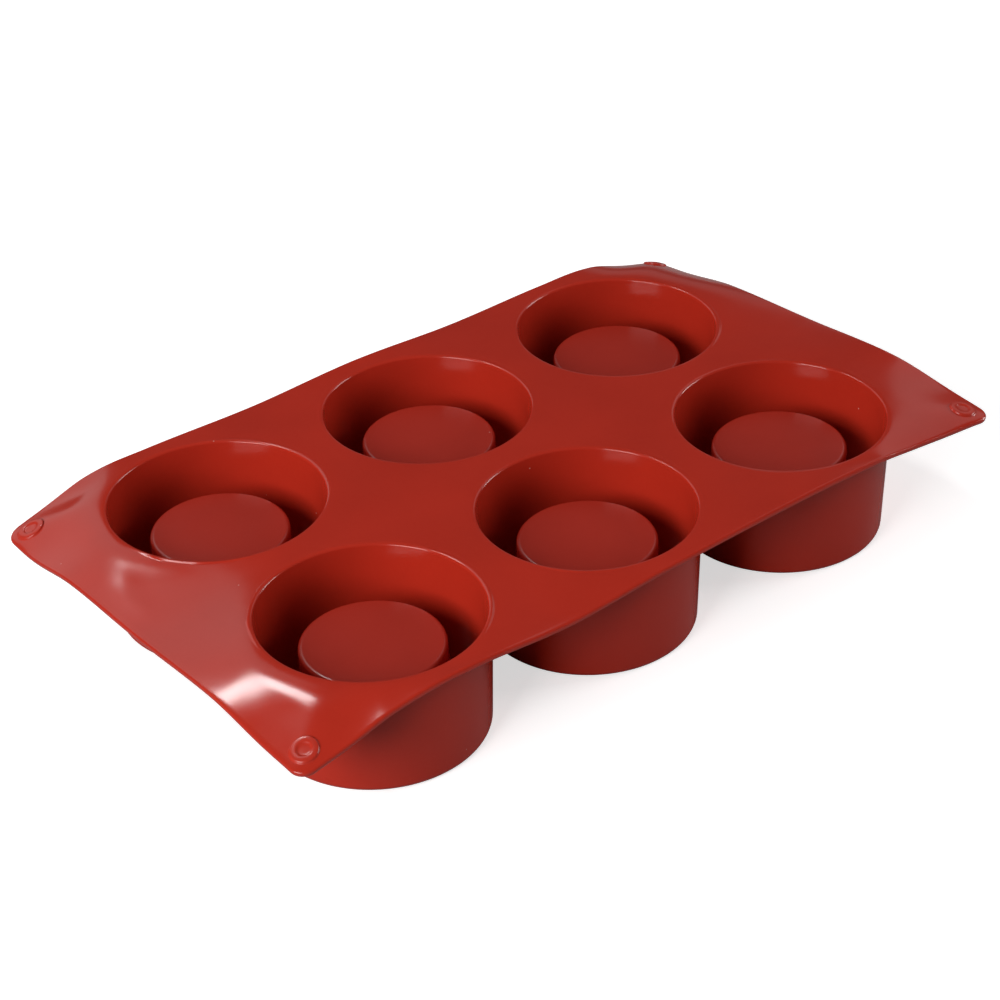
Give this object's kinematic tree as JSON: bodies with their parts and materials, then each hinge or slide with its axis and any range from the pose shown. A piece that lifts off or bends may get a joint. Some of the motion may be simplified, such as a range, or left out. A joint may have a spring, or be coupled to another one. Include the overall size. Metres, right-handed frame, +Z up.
{
  "type": "silicone baking mould",
  "caption": "Flexible silicone muffin mould: round, slightly tapered cavities, each with a flat raised centre island, in a thin sheet with drooping corners.",
  "frame": {"origin": "centre of the sheet's outline, on the surface that the mould stands on", "axes": "+X along the row of three cavities, +Y from the front row to the back row, +Z up out of the cavities' mouths"},
  "size_m": [0.3006, 0.1768, 0.0447],
  "materials": {
    "sheet": "smooth semi-gloss silicone",
    "cup": "smooth semi-gloss silicone",
    "island_wall": "smooth satin silicone",
    "island_cap": "smooth matt silicone",
    "eyelet": "smooth semi-gloss silicone"
  },
  "bodies": {
    "middle_column": {"sheet_centre": "sheet", "cup_front_centre": "cup", "island_wall_front_centre": "island_wall", "cup_back_centre": "cup", "island_wall_back_centre": "island_wall"},
    "left_column": {"sheet_left": "sheet", "cup_front_left": "cup", "island_wall_front_left": "island_wall", "cup_back_left": "cup", "island_wall_back_left": "island_wall", "eyelet_front_left": "eyelet", "eyelet_back_left": "eyelet"},
    "right_column": {"sheet_right": "sheet", "cup_front_right": "cup", "island_wall_front_right": "island_wall", "cup_back_right": "cup", "island_wall_back_right": "island_wall", "eyelet_front_right": "eyelet", "eyelet_back_right": "eyelet"},
    "island_front_left": {"island_cap_front_left": "island_cap"},
    "island_front_centre": {"island_cap_front_centre": "island_cap"},
    "island_front_right": {"island_cap_front_right": "island_cap"},
    "island_back_left": {"island_cap_back_left": "island_cap"},
    "island_back_centre": {"island_cap_back_centre": "island_cap"},
    "island_back_right": {"island_cap_back_right": "island_cap"}
  },
  "joints": [
    {"name": "left_column_fold", "type": "hinge", "parent": "middle_column", "child": "left_column", "pos_m": [-0.045, 0, 0.0436], "axis": [0, 1, 0], "range_deg": [-15, 90], "stiffness_Nm_per_rad": 0.3},
    {"name": "right_column_fold", "type": "hinge", "parent": "middle_column", "child": "right_column", "pos_m": [0.045, 0, 0.0436], "axis": [0, -1, 0], "range_deg": [-15, 90], "stiffness_Nm_per_rad": 0.3},
    {"name": "island_front_left_push", "type": "slide", "parent": "left_column", "child": "island_front_left", "axis": [0, 0, 1], "range_m": [0, 0.012], "stiffness_N_per_m": 400, "deforming": ["island_wall_front_left"]},
    {"name": "island_front_centre_push", "type": "slide", "parent": "middle_column", "child": "island_front_centre", "axis": [0, 0, 1], "range_m": [0, 0.012], "stiffness_N_per_m": 400, "deforming": ["island_wall_front_centre"]},
    {"name": "island_front_right_push", "type": "slide", "parent": "right_column", "child": "island_front_right", "axis": [0, 0, 1], "range_m": [0, 0.012], "stiffness_N_per_m": 400, "deforming": ["island_wall_front_right"]},
    {"name": "island_back_left_push", "type": "slide", "parent": "left_column", "child": "island_back_left", "axis": [0, 0, 1], "range_m": [0, 0.012], "stiffness_N_per_m": 400, "deforming": ["island_wall_back_left"]},
    {"name": "island_back_centre_push", "type": "slide", "parent": "middle_column", "child": "island_back_centre", "axis": [0, 0, 1], "range_m": [0, 0.012], "stiffness_N_per_m": 400, "deforming": ["island_wall_back_centre"]},
    {"name": "island_back_right_push", "type": "slide", "parent": "right_column", "child": "island_back_right", "axis": [0, 0, 1], "range_m": [0, 0.012], "stiffness_N_per_m": 400, "deforming": ["island_wall_back_right"]}
  ]
}
